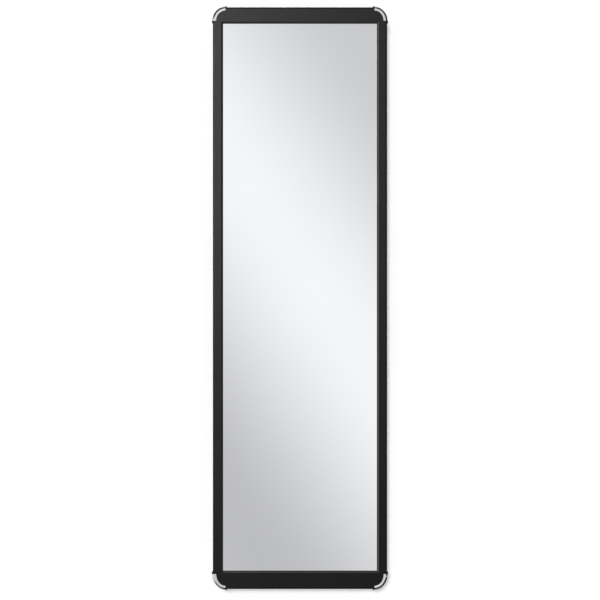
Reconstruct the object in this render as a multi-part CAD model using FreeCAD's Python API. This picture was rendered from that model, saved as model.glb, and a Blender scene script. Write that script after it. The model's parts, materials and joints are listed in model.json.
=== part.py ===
import FreeCAD, Part

import math
import os

# Pull-out closet mirror: a tall framed mirror that hangs on a pair of full-extension
# slides and swivels on an upright post.  Lengths are millimetres.  +Z is up, the mirror
# faces -Y, and the cabinet panel it is screwed to lies on the plane y = 0.  The origin is
# the centre of the mounting plate's back.  The slides are modelled closed.

# ---- mirror frame ----
mirror_width = 365.1
mirror_height = 1219.2
frame_depth = 18.0
stile_width = 21.3
top_rail_width = 34.1
bottom_rail_width = 38.1
section_wall = 1.8
edge_radius = 3.5
back_edge_radius = 0.8
bevel_width = 3.6
bevel_drop = 2.4
lip_depth = 3.2
groove_reach = 10.0
groove_clearance = 0.2

# ---- what the groove holds, from the front ----
gasket_thickness = 0.8
glass_thickness = 4.0
tape_thickness = 1.0
board_thickness = 3.0
glass_edge_clearance = 1.0
tape_width = 12.0

# ---- moulded corners and their bright trims ----
corner_width = 29.4
corner_leg_top = 2.4
corner_leg_bottom = 3.3
corner_rib_width = 3.0
corner_rib_height = 2.0
peg_length = 30.0
peg_clearance = 0.15
trim_width = 7.6
trim_thickness = 3.4
trim_shoulder_width = 4.5
trim_shoulder_drop = 3.3
trim_wrap = 1.6
trim_stand = 0.6
trim_clearance = 0.1
corner_screw_radius = 1.75
corner_screw_length = 11.0

# ---- mounting plate ----
plate_end_margin = 2.0
plate_thickness = 2.5
plate_margin = 10.0
plate_corner_radius = 8.0
mount_end_margin = 24.0
mount_slide_margin = 27.5
mount_hole_radius = 2.75
window_end_margin = 44.0
window_web = 32.0
window_slide_margin = 33.5
window_corner_radius = 10.0

# ---- slides ----
slide_length = 300.0
slide_spacing = 220.0
slide_height = 45.0
slide_thickness = 12.7
slide_travel = 300.0
member_wall = 1.2
member_gap = 0.3
member_front_step = 1.1
lip_reach = 2.4
cage_wall = 0.6
outer_ball_radius = 2.0
inner_ball_radius = 1.5
race_clearance = 0.05
pocket_clearance = 0.2
balls_per_row = 6
ball_end_margin = 9.0
closing_bumper_length = 3.7
closing_bumper_inset = 0.9
bumper_gap = 0.3
stop_length = 2.0
stop_height = 3.0
stop_clearance = 0.4
stop_inset = 5.5
rivet_radius = 2.5
rivet_head_radius = 4.2
rivet_head_depth = 1.4
rivet_span = 220.0
rivets_per_slide = 3

# ---- carriage ----
carriage_thickness = 3.0
carriage_back_x = -62.0
carriage_margin = 8.0
carriage_corner_radius = 10.0
carriage_window_radius = 34.0
arm_height = 24.0
arm_half_thickness = 6.5
arm_length = 96.0
arm_tail_radius = 6.0
arm_screw_radius = 2.5
arm_screw_inset = 18.0
arm_screw_pitch = 36.0
screws_per_arm = 2
member_screw_radius = 2.0
member_screw_length = 8.0
member_screw_first_x = -44.0
member_screw_pitch = 62.0
member_screws_per_slide = 2

# ---- swivel ----
mirror_overhang = 32.55
pivot_inset = 14.55
pivot_end_gap = 1.6
knuckle_clearance = 0.5
post_radius = 4.0
post_overhang = 5.0
post_chamfer = 0.8
ring_radius = 7.4
ring_thickness = 1.2
running_clearance = 0.05
press_clearance = 0.02
washer_radius = 7.4
washer_thickness = 1.5
knuckle_radius = 8.0
knuckle_length = 30.0
bush_radius = 5.6
bush_length = 12.0
bush_flange_radius = 7.6
bush_flange_thickness = 1.0
swivel_limit = 135.0
stop_finger_reach = 4.0
stop_finger_near = 5.2
stop_finger_far = 8.8
stop_finger_thickness = 2.4
stop_finger_overlap = 4.0
stop_finger_gap = 0.5
stop_web_thickness = 4.0
stop_web_height = 9.0

# ---- hinge brackets ----
leaf_tail_length = 50.0
bracket_thickness = 2.5
bracket_edge_margin = 1.6
bracket_screw_radius = 2.0
bracket_screw_length = 8.0
bracket_screw_end = 8.0
bracket_screws_each = 3
backing_bar_thickness = 3.0
backing_bar_clearance = 0.2
thread_clearance = 0.05
hole_clearance = 0.3

# ---- rest bumpers and magnetic catch ----
bumper_radius = 7.0
bumper_foot_radius = 9.0
bumper_foot_height = 3.0
bumper_from_edge = 16.0
bumper_tip_radius = 2.4
bumper_spacing_z = 150.0
catch_x = -46.0
catch_width = 16.0
catch_height = 44.0
catch_base_height = 64.0
catch_base_thickness = 3.0
catch_gap = 0.3
magnet_width = 9.0
magnet_height = 30.0
magnet_depth = 6.0
strike_width = 22.0
strike_thickness = 1.5
strike_corner_radius = 4.0
small_screw_radius = 1.6
small_screw_length = 3.6
catch_screw_length = 5.2
small_screw_inset = 5.0

# ---- screw heads ----
countersink_ratio = 1.9
countersink_depth_ratio = 0.9
pan_head_ratio = 1.9
pan_head_height_ratio = 1.1
socket_ratio = 0.55
socket_depth_ratio = 0.7

edge_tolerance = 1e-4

# ---- positions worked out from the sizes above ----
half_width = mirror_width / 2
half_height = mirror_height / 2
slide_back_x = -slide_length / 2
slide_front_x = slide_length / 2
hinge_edge_x = slide_front_x + mirror_overhang
mirror_centre_x = hinge_edge_x - half_width
slides_front_y = -plate_thickness - slide_thickness
carriage_front_y = slides_front_y - carriage_thickness
pivot_x = hinge_edge_x - pivot_inset
pivot_y = carriage_front_y - arm_half_thickness
frame_back_y = pivot_y - max(knuckle_radius, arm_half_thickness) - knuckle_clearance
face_y = frame_back_y - frame_depth

gasket_depth = lip_depth
glass_depth = gasket_depth + gasket_thickness
tape_depth = glass_depth + glass_thickness
board_depth = tape_depth + tape_thickness
board_back_depth = board_depth + board_thickness
groove_back_depth = board_back_depth + groove_clearance
board_back_y = face_y + board_back_depth
glass_bite = groove_reach - glass_edge_clearance
glass_side = stile_width - glass_bite
glass_top = half_height - top_rail_width + glass_bite
glass_bottom = -half_height + bottom_rail_width - glass_bite

outer_half = slide_height / 2
outer_race = outer_half - member_wall
outer_ball_z = outer_race - race_clearance - outer_ball_radius
middle_half = outer_ball_z - outer_ball_radius - race_clearance
inner_race = middle_half - member_wall
inner_ball_z = inner_race - race_clearance - inner_ball_radius
inner_half = inner_ball_z - inner_ball_radius - race_clearance
outer_cage_web = member_wall + member_gap
middle_web = outer_cage_web + cage_wall + member_gap
inner_cage_web = middle_web + member_wall + member_gap
inner_tip = inner_cage_web + cage_wall + member_gap
middle_tip = slide_thickness - member_front_step
outer_tip = middle_tip - member_front_step
outer_ball_depth = (middle_web + outer_tip - member_wall) / 2
inner_ball_depth = (inner_tip + middle_tip - member_wall) / 2
member_back_x = slide_back_x + closing_bumper_length + bumper_gap
front_stop_x = slide_front_x - stop_inset - stop_length
rear_stop_x = member_back_x + stop_inset
cage_shift = slide_travel / 4
cage_back_x = rear_stop_x + stop_length + stop_clearance + cage_shift
cage_front_x = front_stop_x - stop_clearance - cage_shift
slide_centres = {"upper": slide_spacing / 2, "lower": -slide_spacing / 2}

arm_back_x = pivot_x - arm_length
arm_screw_xs = [arm_back_x + arm_screw_inset + i * arm_screw_pitch for i in range(screws_per_arm)]
arm_inner_z = slide_spacing / 2 - arm_height / 2
arm_outer_z = slide_spacing / 2 + arm_height / 2
knuckle_top_z = arm_inner_z - washer_thickness - bush_flange_thickness
knuckle_bottom_z = knuckle_top_z - knuckle_length
stop_finger_back = arm_half_thickness + stop_finger_gap + stop_finger_thickness
carriage_front_x = pivot_x - math.hypot(stop_finger_far, stop_finger_back) - pivot_end_gap
carriage_half_height = slide_spacing / 2 + slide_height / 2 + carriage_margin
catch_screw_z = catch_base_height / 2 - small_screw_inset
catch_screw_zs = (-catch_screw_z, catch_screw_z)
stile_screw_inset = (stile_width - groove_reach) / 2
stile_screw_x = hinge_edge_x - stile_screw_inset
plate_end_x = slide_front_x + plate_end_margin
mount_x = plate_end_x - mount_end_margin
slide_inner_edge_z = (slide_spacing - slide_height) / 2
mount_z = slide_inner_edge_z - mount_slide_margin


def vec(x, y, z):
    return FreeCAD.Vector(x, y, z)


def box(x0, x1, y0, y1, z0, z1):
    """Box between two corners given in any order."""
    low = vec(min(x0, x1), min(y0, y1), min(z0, z1))
    return Part.makeBox(abs(x1 - x0), abs(y1 - y0), abs(z1 - z0), low)


def rod(radius, start, end):
    """Cylinder from one point to another."""
    way = end.sub(start)
    return Part.makeCylinder(radius, way.Length, start, way)


def tube(outer, inner, start, end):
    return rod(outer, start, end).cut(rod(inner, start, end))


def merged(first, others):
    """One solid from pieces that overlap or share faces."""
    return first.fuse(others).removeSplitter()


def edges_between(shape, axis, low, high):
    """Edges that run from low to high along X, Y or Z, or lie at one value of it."""
    found = []
    for edge in shape.Edges:
        start = getattr(edge.BoundBox, axis + "Min")
        end = getattr(edge.BoundBox, axis + "Max")
        if abs(start - min(low, high)) < edge_tolerance and abs(end - max(low, high)) < edge_tolerance:
            found.append(edge)
    return found


def edges_at(shape, first_axis, first, second_axis, second):
    """Edges on which two coordinates stay at the given values."""
    others = [edge.hashCode() for edge in edges_between(shape, second_axis, second, second)]
    return [edge for edge in edges_between(shape, first_axis, first, first)
            if edge.hashCode() in others]


def plate(x0, x1, y0, y1, z0, z1, corner_radius):
    """Flat plate in the XZ plane with rounded corners."""
    blank = box(x0, x1, y0, y1, z0, z1)
    return blank.makeFillet(corner_radius, edges_between(blank, "Y", y0, y1))


def hex_socket(radius, depth, point, way):
    """Hexagonal prism that cuts a drive socket into a screw head."""
    outline = Part.makePolygon([vec(radius * math.cos(k * math.pi / 3),
                                    radius * math.sin(k * math.pi / 3), 0) for k in range(7)])
    prism = Part.Face(outline).extrude(vec(0, 0, depth))
    prism.Placement = FreeCAD.Placement(point, FreeCAD.Rotation(vec(0, 0, 1), way))
    return prism


def countersunk_space(radius, length, point, way, clearance):
    """Cone and shank of a flush screw whose head top lies at point; way leads down the shank."""
    head = radius * countersink_ratio + clearance
    depth = radius * countersink_depth_ratio
    cone = Part.makeCone(head, radius + clearance, depth, point, way)
    shank = rod(radius + clearance, point, point + way * length)
    return cone.fuse(shank)


def countersunk_screw(radius, length, point, way):
    body = countersunk_space(radius, length, point, way, 0).removeSplitter()
    return body.cut(hex_socket(radius * socket_ratio, radius * socket_depth_ratio, point, way))


def pan_screw(radius, length, point, way):
    """Screw whose raised head sits on the surface at point; way leads down the shank."""
    height = radius * pan_head_height_ratio
    top = point - way * height
    head = rod(radius * pan_head_ratio, top, point)
    body = merged(head, [rod(radius, point, point + way * length)])
    return body.cut(hex_socket(radius * socket_ratio, radius * socket_depth_ratio, top, way))


# ---------------------------------------------------------------- mirror frame

BACKWARD = vec(0, 1, 0)
FORWARD = vec(0, -1, 0)


def frame_x(side, across):
    """x at a distance inside the frame's hinge edge (side 1) or free edge (side -1)."""
    return mirror_centre_x + side * (half_width - across)


def frame_z(end, along):
    """z at a distance inside the frame's top (end 1) or bottom (end -1)."""
    return end * (half_height - along)


def frame_box(side, end, across, depth, along):
    """Box in frame measures: across from the side edge, depth from the face, along from the end."""
    return box(frame_x(side, across[0]), frame_x(side, across[1]), face_y + depth[0], face_y + depth[1],
               frame_z(end, along[0]), frame_z(end, along[1]))


def rail_width(end):
    return top_rail_width if end > 0 else bottom_rail_width


def corner_height(end):
    leg = corner_leg_top if end > 0 else corner_leg_bottom
    return rail_width(end) - leg


def groove_space():
    """Room that the gasket, glass, tape and backing board take in every frame member."""
    across = stile_width - groove_reach
    return box(frame_x(-1, across), frame_x(1, across), face_y + lip_depth, face_y + groove_back_depth,
               frame_z(-1, bottom_rail_width - groove_reach), frame_z(1, top_rail_width - groove_reach))


def bevel_space():
    """Sloping rim round the glass, carried in front of the face at the same slope."""
    out = 2 * bevel_width
    left = frame_x(-1, stile_width)
    right = frame_x(1, stile_width)
    top = frame_z(1, top_rail_width)
    bottom = frame_z(-1, bottom_rail_width)
    return Part.makeWedge(left - out, face_y - bevel_drop, bottom - out, bottom, left,
                          right + out, face_y + bevel_drop, top + out, top, right)


def stile(side):
    """Hollow upright between two corners, with the glass groove in its inner edge."""
    ends = (frame_z(-1, corner_height(-1)), frame_z(1, corner_height(1)))
    outer_x = frame_x(side, 0)
    body = box(outer_x, frame_x(side, stile_width), face_y, frame_back_y, *ends)
    body = body.makeFillet(edge_radius, edges_at(body, "X", outer_x, "Y", face_y))
    body = body.makeFillet(back_edge_radius, edges_at(body, "X", outer_x, "Y", frame_back_y))
    near = section_wall
    far = frame_depth - section_wall
    main = box(frame_x(side, section_wall), frame_x(side, stile_width - groove_reach - section_wall),
               face_y + near, face_y + far, *ends)
    rear = box(frame_x(side, section_wall), frame_x(side, stile_width - section_wall),
               face_y + groove_back_depth + section_wall, face_y + far, *ends)
    body = body.cut(main.fuse(rear)).cut(groove_space()).cut(bevel_space())
    for point in corner_screw_points(side):
        body = body.cut(countersunk_space(corner_screw_radius, corner_screw_length, point, FORWARD,
                                          thread_clearance))
    if side > 0:
        for point in bracket_screw_points():
            seat = vec(point.x, frame_back_y, point.z)
            body = body.cut(rod(bracket_screw_radius + hole_clearance, seat,
                                seat + FORWARD * (section_wall + groove_clearance)))
    return body


def rail(end):
    """Hollow crosspiece between two corners, with the glass groove in its inner edge."""
    sides = (frame_x(-1, corner_width), frame_x(1, corner_width))
    outer_z = frame_z(end, 0)
    width = rail_width(end)
    body = box(*sides, face_y, frame_back_y, outer_z, frame_z(end, width))
    body = body.makeFillet(edge_radius, edges_at(body, "Y", face_y, "Z", outer_z))
    body = body.makeFillet(back_edge_radius, edges_at(body, "Y", frame_back_y, "Z", outer_z))
    near = section_wall
    far = frame_depth - section_wall
    main = box(*sides, face_y + near, face_y + far, frame_z(end, section_wall),
               frame_z(end, width - groove_reach - section_wall))
    rear = box(*sides, face_y + groove_back_depth + section_wall, face_y + far,
               frame_z(end, section_wall), frame_z(end, width - section_wall))
    body = body.cut(main.fuse(rear)).cut(groove_space()).cut(bevel_space())
    for side in (-1, 1):
        body = body.cut(countersunk_space(corner_screw_radius, corner_screw_length,
                                          rail_screw_point(side, end), FORWARD, thread_clearance))
    return body


def stile_screw_point(side, end):
    along = corner_height(end) + peg_length / 2
    return vec(frame_x(side, stile_screw_inset), frame_back_y, frame_z(end, along))


def corner_screw_points(side):
    return [stile_screw_point(side, end) for end in (-1, 1)]


def rail_screw_point(side, end):
    across = corner_width + peg_length / 2
    along = (rail_width(end) - groove_reach) / 2
    return vec(frame_x(side, across), frame_back_y, frame_z(end, along))


def quarter_arc(side, end, across, along, y):
    """Quarter ellipse from the side edge to the end edge of a corner.

    across and along are (rim, centre) distances from the frame's side and end edges.
    """
    rim_x = frame_x(side, across[0])
    mid_x = frame_x(side, across[1])
    rim_z = frame_z(end, along[0])
    mid_z = frame_z(end, along[1])
    curve = Part.BezierCurve()
    curve.setPoles([vec(rim_x, y, mid_z), vec(rim_x, y, rim_z), vec(mid_x, y, rim_z)])
    curve.setWeight(2, math.sqrt(0.5))
    return curve.toShape()


def quarter_outline(side, end, rim, depth):
    """Closed quarter ellipse whose rim lies a given distance inside the frame's outline."""
    centre_across = corner_width - corner_rib_width
    centre_along = corner_height(end) - corner_rib_width
    y = face_y + depth
    arc = quarter_arc(side, end, (rim, centre_across), (rim, centre_along), y)
    centre = vec(frame_x(side, centre_across), y, frame_z(end, centre_along))
    first = arc.Vertexes[0].Point
    last = arc.Vertexes[-1].Point
    return Part.Wire([arc, Part.makeLine(last, centre), Part.makeLine(centre, first)])


def quarter_disc(side, end, rim, depth):
    face = Part.Face(quarter_outline(side, end, rim, depth[0]))
    return face.extrude(vec(0, depth[1] - depth[0], 0))


def corner(side, end):
    """Moulded corner block with a rounded outside, two end ribs and a peg into each member."""
    height = corner_height(end)
    whole = (0, frame_depth)
    rib_start = corner_width - corner_rib_width
    rib_level = height - corner_rib_width
    body = quarter_disc(side, end, 0, whole)
    stile_rib = frame_box(side, end, (-corner_rib_height, stile_width), whole, (rib_level, height))
    rail_rib = frame_box(side, end, (rib_start, corner_width), whole,
                         (-corner_rib_height, rail_width(end)))
    leg = frame_box(side, end, (stile_width, corner_width), whole, (rib_level, rail_width(end)))
    near = section_wall + peg_clearance
    far = frame_depth - near
    stile_peg = frame_box(side, end, (near, stile_width - groove_reach - near), (near, far),
                          (height, height + peg_length))
    rail_peg = frame_box(side, end, (corner_width, corner_width + peg_length), (near, far),
                         (near, rail_width(end) - groove_reach - near))
    body = merged(body, [stile_rib, rail_rib, leg, stile_peg, rail_peg])
    recess = (-trim_stand, trim_thickness - trim_stand + trim_clearance)
    seat = quarter_disc(side, end, -trim_clearance, recess)
    kept = quarter_disc(side, end, trim_width + trim_clearance, recess)
    body = body.cut(seat.cut(kept)).cut(groove_space()).cut(bevel_space())
    for point in (stile_screw_point(side, end), rail_screw_point(side, end)):
        body = body.cut(rod(corner_screw_radius + thread_clearance, point,
                            point + FORWARD * (corner_screw_length + peg_clearance)))
    return body


def corner_trim(side, end):
    """Bright quarter ring: a flat crown, a sloping shoulder and a skirt round the corner."""
    crown_depth = -trim_stand
    under_depth = trim_thickness - trim_stand
    skirt_depth = trim_shoulder_drop - trim_stand
    crown = quarter_outline(side, end, trim_shoulder_width - trim_wrap, crown_depth)
    rim = quarter_outline(side, end, -trim_wrap, skirt_depth)
    shoulder = Part.makeLoft([crown, rim], True, True)
    whole = merged(shoulder, [quarter_disc(side, end, -trim_wrap, (skirt_depth, frame_depth))])
    inside = quarter_disc(side, end, trim_width, (crown_depth, frame_depth))
    under = quarter_disc(side, end, -trim_clearance, (under_depth, frame_depth))
    return whole.cut(inside).cut(under)


def groove_strips(inner_reach, depth):
    """Four straight strips round the glass edge, butted at the corners."""
    y0 = face_y + depth[0]
    y1 = face_y + depth[1]
    inner = glass_side + inner_reach
    strips = [box(frame_x(side, inner), frame_x(side, glass_side), y0, y1, glass_bottom, glass_top)
              for side in (-1, 1)]
    for end_z, inward in ((glass_top, -1), (glass_bottom, 1)):
        strips.append(box(frame_x(-1, inner), frame_x(1, inner), y0, y1, end_z,
                          end_z + inward * inner_reach))
    return Part.makeCompound(strips)


def sheet(depth):
    return box(frame_x(-1, glass_side), frame_x(1, glass_side), face_y + depth[0], face_y + depth[1],
               glass_bottom, glass_top)


def corner_screws():
    points = []
    for side in (-1, 1):
        for end in (-1, 1):
            points += [stile_screw_point(side, end), rail_screw_point(side, end)]
    return Part.makeCompound([countersunk_screw(corner_screw_radius, corner_screw_length, p, FORWARD)
                              for p in points])


# ---------------------------------------------------------------- swivel

def bracket_span(level):
    """Lowest and highest z of a hinge bracket's leaf."""
    inner = knuckle_bottom_z - leaf_tail_length
    return (inner, knuckle_top_z) if level == "upper" else (-knuckle_top_z, -inner)


def bracket_screw_points(levels=("upper", "lower")):
    points = []
    pitch = (leaf_tail_length - 2 * bracket_screw_end) / (bracket_screws_each - 1)
    for level in levels:
        sign = 1 if level == "upper" else -1
        for i in range(bracket_screws_each):
            height = knuckle_bottom_z - bracket_screw_end - i * pitch
            points.append(vec(stile_screw_x, frame_back_y + bracket_thickness, sign * height))
    return points


def stop_finger():
    """Finger that meets the upper arm's back at the end of the swing, turned back to rest."""
    near_y = pivot_y + arm_half_thickness + stop_finger_gap
    finger = box(pivot_x - stop_finger_far, pivot_x - stop_finger_near, near_y,
                 near_y + stop_finger_thickness, knuckle_top_z - stop_web_height,
                 arm_inner_z + stop_finger_overlap)
    finger.rotate(vec(pivot_x, pivot_y, 0), vec(0, 0, 1), -swivel_limit)
    return finger


def hinge_bracket(level):
    """Plate on the back of the stile with a knuckle round the post."""
    sign = 1 if level == "upper" else -1
    low, high = bracket_span(level)
    back_y = frame_back_y + bracket_thickness
    leaf = box(hinge_edge_x - bracket_edge_margin, hinge_edge_x - stile_width + bracket_edge_margin,
               frame_back_y, back_y, low, high)
    start = vec(pivot_x, pivot_y, sign * knuckle_bottom_z)
    end = vec(pivot_x, pivot_y, sign * knuckle_top_z)
    root = box(pivot_x - knuckle_radius, pivot_x + knuckle_radius, frame_back_y, pivot_y,
               start.z, end.z)
    extras = [rod(knuckle_radius, start, end), root]
    if level == "upper":
        web_end = pivot_x + knuckle_radius + stop_finger_reach
        web = box(pivot_x, web_end, pivot_y - stop_web_thickness / 2,
                  pivot_y + stop_web_thickness / 2, knuckle_top_z - stop_web_height, knuckle_top_z)
        extras += [web, stop_finger()]
    body = merged(leaf, extras).cut(rod(bush_radius + press_clearance, start, end))
    for point in bracket_screw_points((level,)):
        body = body.cut(countersunk_space(bracket_screw_radius, bracket_screw_length, point, FORWARD,
                                          thread_clearance))
    return body


def backing_bars():
    """Tapped bars inside the hinge stile that the bracket screws pull against."""
    bars = []
    near_x = hinge_edge_x - section_wall - backing_bar_clearance
    far_x = hinge_edge_x - stile_width + groove_reach + section_wall + backing_bar_clearance
    back_y = frame_back_y - section_wall
    for level in ("upper", "lower"):
        low, high = bracket_span(level)
        bar = box(near_x, far_x, back_y, back_y - backing_bar_thickness, low, high)
        for point in bracket_screw_points((level,)):
            bar = bar.cut(rod(bracket_screw_radius + thread_clearance, point,
                              point + FORWARD * (2 * bracket_screw_length)))
        bars.append(bar)
    return Part.makeCompound(bars)


def bracket_screws():
    return Part.makeCompound([countersunk_screw(bracket_screw_radius, bracket_screw_length, p, FORWARD)
                              for p in bracket_screw_points()])


def pivot_bushes():
    """Flanged bush at the arm's end of each knuckle and a plain one at its other end."""
    bushes = []
    bore = post_radius + running_clearance
    for sign in (-1, 1):
        mouth = vec(pivot_x, pivot_y, sign * knuckle_top_z)
        deep = vec(pivot_x, pivot_y, sign * (knuckle_top_z - bush_length))
        lip = vec(pivot_x, pivot_y, sign * (knuckle_top_z + bush_flange_thickness))
        sleeve = merged(rod(bush_radius, mouth, deep), [rod(bush_flange_radius, mouth, lip)])
        bushes.append(sleeve.cut(rod(bore, lip, deep)))
        foot = vec(pivot_x, pivot_y, sign * knuckle_bottom_z)
        inner = vec(pivot_x, pivot_y, sign * (knuckle_bottom_z + bush_length))
        bushes.append(tube(bush_radius, bore, foot, inner))
    return Part.makeCompound(bushes)


def swivel_washers():
    """Friction washers between the arms and the bush flanges."""
    washers = []
    for sign in (-1, 1):
        start = vec(pivot_x, pivot_y, sign * (arm_inner_z - washer_thickness))
        end = vec(pivot_x, pivot_y, sign * arm_inner_z)
        washers.append(tube(washer_radius, post_radius + press_clearance, start, end))
    return Part.makeCompound(washers)


def pivot_post():
    reach = arm_outer_z + post_overhang
    post = rod(post_radius, vec(pivot_x, pivot_y, -reach), vec(pivot_x, pivot_y, reach))
    ends = edges_between(post, "Z", -reach, -reach) + edges_between(post, "Z", reach, reach)
    return post.makeChamfer(post_chamfer, ends)


def post_rings():
    """Push-on rings that keep the post in the arms."""
    rings = []
    for sign in (-1, 1):
        start = vec(pivot_x, pivot_y, sign * arm_outer_z)
        end = vec(pivot_x, pivot_y, sign * (arm_outer_z + ring_thickness))
        rings.append(tube(ring_radius, post_radius + press_clearance, start, end))
    return Part.makeCompound(rings)


def pivot_arm(level):
    """Bar on the carriage that holds one end of the post."""
    z = slide_centres[level]
    low = z - arm_height / 2
    high = z + arm_height / 2
    front_y = pivot_y - arm_half_thickness
    bar = box(arm_back_x, pivot_x, front_y, carriage_front_y, low, high)
    tail = edges_at(bar, "X", arm_back_x, "Z", low) + edges_at(bar, "X", arm_back_x, "Z", high)
    bar = bar.makeFillet(arm_tail_radius, tail)
    nose = rod(arm_half_thickness, vec(pivot_x, pivot_y, low), vec(pivot_x, pivot_y, high))
    bar = merged(bar, [nose])
    bar = bar.cut(rod(post_radius + press_clearance, vec(pivot_x, pivot_y, low),
                      vec(pivot_x, pivot_y, high)))
    for x in arm_screw_xs:
        bar = bar.cut(countersunk_space(arm_screw_radius, 2 * arm_half_thickness,
                                        vec(x, front_y, z), BACKWARD, hole_clearance / 2))
    return bar


def arm_screws():
    front_y = pivot_y - arm_half_thickness
    length = 2 * arm_half_thickness + carriage_thickness + 2 * member_wall
    return Part.makeCompound([countersunk_screw(arm_screw_radius, length, vec(x, front_y, z), BACKWARD)
                              for z in slide_centres.values() for x in arm_screw_xs])


# ---------------------------------------------------------------- carriage

def member_screw_xs():
    return [member_screw_first_x + i * member_screw_pitch for i in range(member_screws_per_slide)]


def bumper_centres():
    x = carriage_back_x + bumper_from_edge
    return [vec(x, carriage_front_y, sign * bumper_spacing_z / 2) for sign in (-1, 1)]


def carriage_plate():
    """Plate across both inner members that carries the arms, bumpers and catch."""
    body = plate(carriage_back_x, carriage_front_x, slides_front_y, carriage_front_y,
                 -carriage_half_height, carriage_half_height, carriage_corner_radius)
    middle_x = (carriage_back_x + carriage_front_x) / 2
    body = body.cut(rod(carriage_window_radius, vec(middle_x, slides_front_y, 0),
                        vec(middle_x, carriage_front_y, 0)))
    for z in slide_centres.values():
        for x in arm_screw_xs:
            body = body.cut(rod(arm_screw_radius + thread_clearance, vec(x, slides_front_y, z),
                                vec(x, carriage_front_y, z)))
        for x in member_screw_xs():
            body = body.cut(rod(member_screw_radius + hole_clearance, vec(x, slides_front_y, z),
                                vec(x, carriage_front_y, z)))
    for z in catch_screw_zs:
        body = body.cut(rod(small_screw_radius + thread_clearance, vec(catch_x, slides_front_y, z),
                            vec(catch_x, carriage_front_y, z)))
    return body


def member_screws():
    return Part.makeCompound([pan_screw(member_screw_radius, member_screw_length,
                                        vec(x, carriage_front_y, z), BACKWARD)
                              for z in slide_centres.values() for x in member_screw_xs()])


def rest_bumpers():
    """Rubber buttons that the backing board comes to rest on."""
    buttons = []
    for centre in bumper_centres():
        tip = vec(centre.x, board_back_y + bumper_gap, centre.z)
        stem = rod(bumper_radius, centre, tip)
        stem = stem.makeFillet(bumper_tip_radius, edges_between(stem, "Y", tip.y, tip.y))
        foot = rod(bumper_foot_radius, centre, centre + FORWARD * bumper_foot_height)
        buttons.append(merged(stem, [foot]))
    return Part.makeCompound(buttons)


def catch_face_y():
    return board_back_y + strike_thickness + catch_gap


def catch_housing():
    """Catch body with a magnet pocket in its front and a screw flange at its foot."""
    low_x = catch_x - catch_width / 2
    high_x = catch_x + catch_width / 2
    tower = box(low_x, high_x, carriage_front_y, catch_face_y(), -catch_height / 2, catch_height / 2)
    base = box(low_x, high_x, carriage_front_y, carriage_front_y - catch_base_thickness,
               -catch_base_height / 2, catch_base_height / 2)
    body = merged(tower, [base])
    body = body.cut(magnet(thread_clearance))
    for z in catch_screw_zs:
        seat = vec(catch_x, carriage_front_y - catch_base_thickness, z)
        body = body.cut(rod(small_screw_radius + hole_clearance, seat,
                            vec(catch_x, carriage_front_y, z)))
    return body


def magnet(clearance=0.0):
    front_y = catch_face_y()
    return box(catch_x - magnet_width / 2 - clearance, catch_x + magnet_width / 2 + clearance,
               front_y, front_y + magnet_depth + clearance,
               -magnet_height / 2 - clearance, magnet_height / 2 + clearance)


def catch_screws():
    seat_y = carriage_front_y - catch_base_thickness
    return Part.makeCompound([pan_screw(small_screw_radius, catch_screw_length,
                                        vec(catch_x, seat_y, z), BACKWARD)
                              for z in catch_screw_zs])


def strike_plate():
    """Steel plate on the backing board that the magnet holds."""
    body = plate(catch_x - strike_width / 2, catch_x + strike_width / 2, board_back_y,
                 board_back_y + strike_thickness, -catch_base_height / 2, catch_base_height / 2,
                 strike_corner_radius)
    for point in strike_screw_points():
        body = body.cut(countersunk_space(small_screw_radius, strike_thickness, point, FORWARD,
                                          thread_clearance))
    return body


def strike_screw_points():
    return [vec(catch_x, board_back_y + strike_thickness, z) for z in catch_screw_zs]


def strike_screws():
    return Part.makeCompound([countersunk_screw(small_screw_radius, small_screw_length, p, FORWARD)
                              for p in strike_screw_points()])


def backing_board():
    board = sheet((board_depth, board_back_depth))
    for point in strike_screw_points():
        board = board.cut(countersunk_space(small_screw_radius, small_screw_length + thread_clearance,
                                            point, FORWARD, thread_clearance))
    return board


# ---------------------------------------------------------------- slides

def slide_box(x0, x1, depth, low, high, centre_z):
    """Box in slide measures: depth in front of the mounting plate, heights from the centre line."""
    return box(x0, x1, -plate_thickness - depth[0], -plate_thickness - depth[1],
               centre_z + low, centre_z + high)


def channel(x0, x1, web, tip, half, wall, centre_z):
    """Straight channel: its web lies at depth web and its two flanges reach depth tip."""
    inside = web + math.copysign(wall, tip - web)
    blank = slide_box(x0, x1, (web, tip), -half, half, centre_z)
    return blank.cut(slide_box(x0, x1, (inside, tip), wall - half, half - wall, centre_z))


def flange_pieces(x0, x1, depth, near, far, centre_z):
    """The same piece on the upper and on the lower flange."""
    return [slide_box(x0, x1, depth, sign * near, sign * far, centre_z) for sign in (-1, 1)]


def stop_depth(ball_depth):
    return (ball_depth - stop_height / 2, ball_depth + stop_height / 2)


def outer_member(level):
    z = slide_centres[level]
    body = channel(slide_back_x, slide_front_x, 0, outer_tip, outer_half, member_wall, z)
    lips = flange_pieces(slide_back_x, slide_front_x, (outer_tip - member_wall, outer_tip),
                         outer_race - lip_reach, outer_half, z)
    stops = flange_pieces(front_stop_x, front_stop_x + stop_length, stop_depth(outer_ball_depth),
                          middle_half + stop_clearance, outer_half, z)
    body = merged(body, lips + stops)
    for x in rivet_xs():
        body = body.cut(rod(rivet_radius + thread_clearance, vec(x, 0, z),
                            vec(x, -plate_thickness - outer_cage_web, z)))
    return body


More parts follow.
